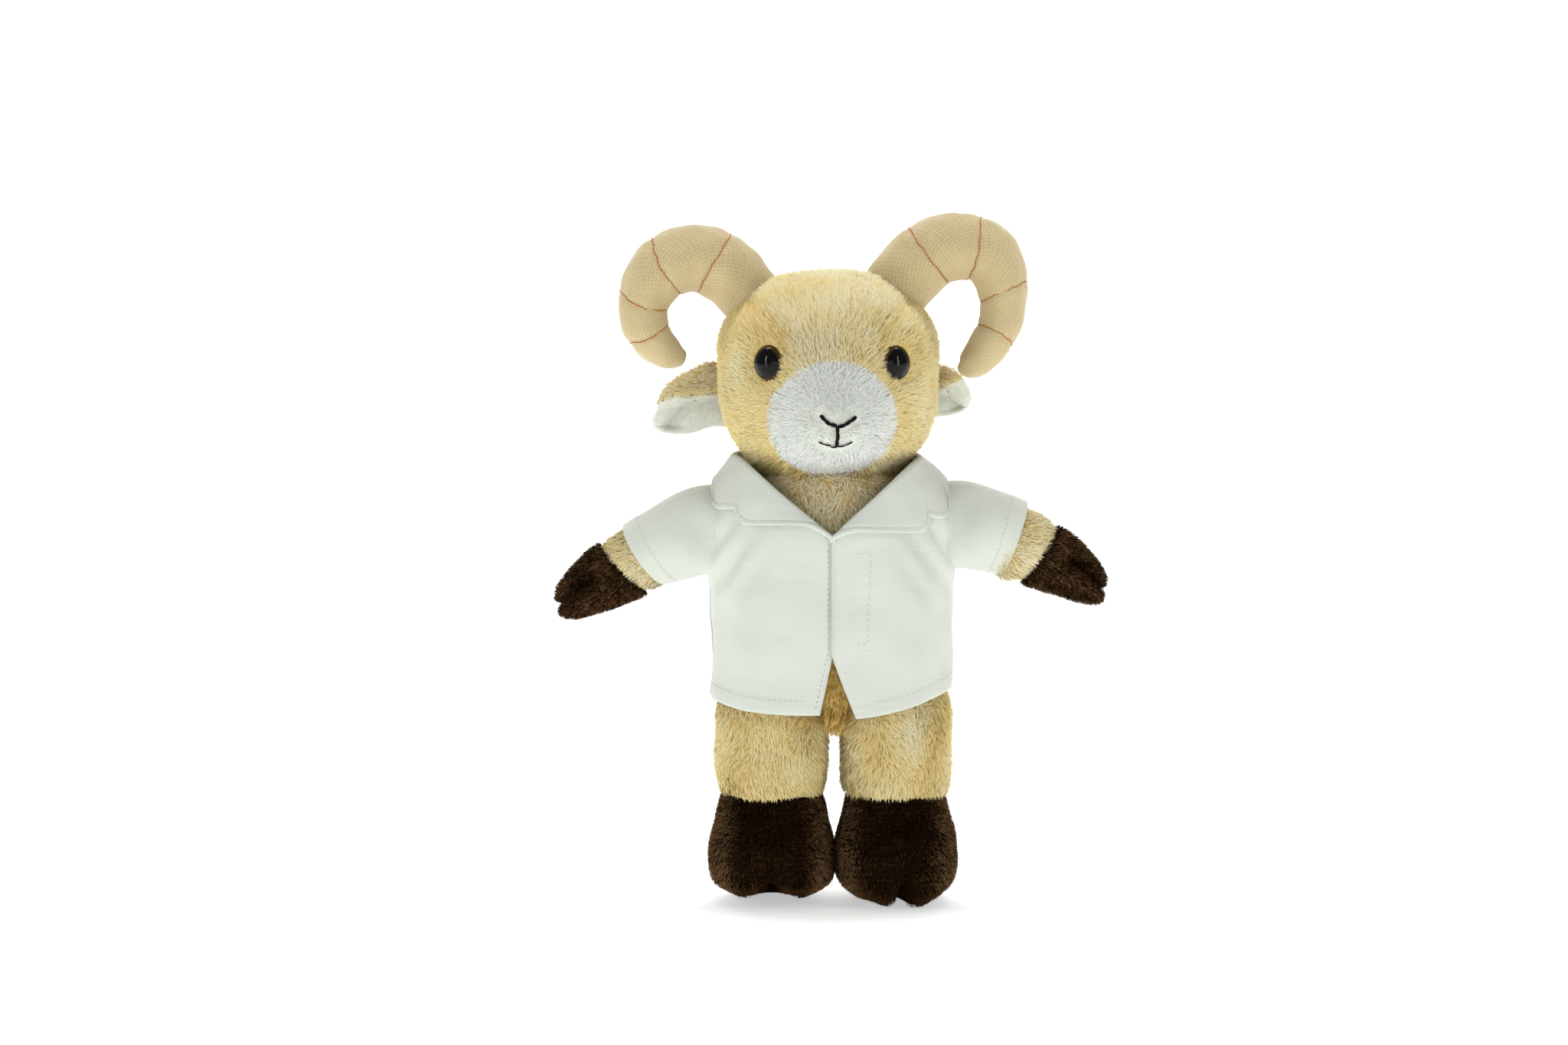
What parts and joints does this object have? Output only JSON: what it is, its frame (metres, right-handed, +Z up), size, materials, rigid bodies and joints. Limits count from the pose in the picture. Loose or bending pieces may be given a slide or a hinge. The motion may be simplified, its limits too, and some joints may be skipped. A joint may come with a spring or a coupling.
{
  "type": "plush ram toy",
  "caption": "Standing stuffed bighorn ram toy with curled horns, dark plush hooves and a short-sleeved shirt; its head, ears, arms, legs and tail move.",
  "frame": {"origin": "on the floor under the middle of the standing toy's bounding box", "axes": "+Z up, -Y the way the face looks, +X to the toy's left hand side, which is on the viewer's right"},
  "size_m": [0.2014, 0.0856, 0.2478],
  "materials": {
    "fur": "long soft pile",
    "ear_fur": "long soft pile",
    "ear_lining": "short velvet pile",
    "muzzle_fur": "long soft pile",
    "stuffing": "loose polyester fibre",
    "face_thread": "stranded thread",
    "eye_plastic": "polished",
    "washer_plastic": "moulded",
    "horn_knit": "brushed knit",
    "horn_thread": "stitching thread",
    "hoof_plush": "short plush",
    "shirt_cotton": "plain woven cotton",
    "hook_tape": "hook tape",
    "loop_tape": "loop tape"
  },
  "bodies": {
    "torso": {"torso_cover": "fur", "torso_stuffing": "stuffing", "shirt_back": "shirt_cotton", "shirt_front_left": "shirt_cotton", "shirt_front_right": "shirt_cotton", "shirt_collar": "shirt_cotton", "closure_hook_strip": "hook_tape", "closure_loop_strip": "loop_tape"},
    "head": {"head_cover": "fur", "head_stuffing": "stuffing", "muzzle_panel": "muzzle_fur", "nose_stitching": "face_thread", "eye_left": "eye_plastic", "eye_right": "eye_plastic", "eye_washer_left": "washer_plastic", "eye_washer_right": "washer_plastic", "horn_left": "horn_knit", "horn_right": "horn_knit", "horn_stuffing_left": "stuffing", "horn_stuffing_right": "stuffing", "horn_stitching_left": "horn_thread", "horn_stitching_right": "horn_thread"},
    "ear_left": {"ear_outer_left": "ear_fur", "ear_lining_left": "ear_lining"},
    "ear_right": {"ear_outer_right": "ear_fur", "ear_lining_right": "ear_lining"},
    "arm_left": {"arm_cover_left": "fur", "arm_stuffing_left": "stuffing", "hand_hoof_left": "hoof_plush", "sleeve_left": "shirt_cotton"},
    "arm_right": {"arm_cover_right": "fur", "arm_stuffing_right": "stuffing", "hand_hoof_right": "hoof_plush", "sleeve_right": "shirt_cotton"},
    "leg_left": {"leg_cover_left": "fur", "leg_stuffing_left": "stuffing", "foot_hoof_left": "hoof_plush"},
    "leg_right": {"leg_cover_right": "fur", "leg_stuffing_right": "stuffing", "foot_hoof_right": "hoof_plush"},
    "tail": {"tail": "fur"}
  },
  "joints": [
    {"name": "neck_turn", "type": "hinge", "parent": "torso", "child": "head", "pos_m": [0, 0.00185, 0.154], "axis": [0, 0, 1], "range_deg": [-20, 20], "stiffness_Nm_per_rad": 0.05},
    {"name": "ear_left_lift", "type": "hinge", "parent": "head", "child": "ear_left", "pos_m": [-0.0383, 0.01135, 0.184], "axis": [0, 1, 0], "range_deg": [-20, 20], "stiffness_Nm_per_rad": 0.004},
    {"name": "ear_right_lift", "type": "hinge", "parent": "head", "child": "ear_right", "pos_m": [0.0383, 0.01135, 0.184], "axis": [0, -1, 0], "range_deg": [-20, 20], "stiffness_Nm_per_rad": 0.004},
    {"name": "arm_left_raise", "type": "hinge", "parent": "torso", "child": "arm_left", "pos_m": [-0.035, 0.00185, 0.142], "axis": [0, 1, 0], "range_deg": [-20, 30], "stiffness_Nm_per_rad": 0.05, "deforming": ["sleeve_left"]},
    {"name": "arm_right_raise", "type": "hinge", "parent": "torso", "child": "arm_right", "pos_m": [0.035, 0.00185, 0.142], "axis": [0, -1, 0], "range_deg": [-20, 30], "stiffness_Nm_per_rad": 0.05, "deforming": ["sleeve_right"]},
    {"name": "leg_left_swing", "type": "hinge", "parent": "torso", "child": "leg_left", "pos_m": [-0.0223, 0.00185, 0.068], "axis": [-1, 0, 0], "range_deg": [-20, 85], "stiffness_Nm_per_rad": 0.3, "deforming": ["shirt_front_left"]},
    {"name": "leg_right_swing", "type": "hinge", "parent": "torso", "child": "leg_right", "pos_m": [0.0223, 0.00185, 0.068], "axis": [-1, 0, 0], "range_deg": [-20, 85], "stiffness_Nm_per_rad": 0.3, "deforming": ["shirt_front_right"]},
    {"name": "tail_lift", "type": "hinge", "parent": "torso", "child": "tail", "pos_m": [0, 0.02735, 0.069], "axis": [1, 0, 0], "range_deg": [-20, 15], "stiffness_Nm_per_rad": 0.004}
  ]
}
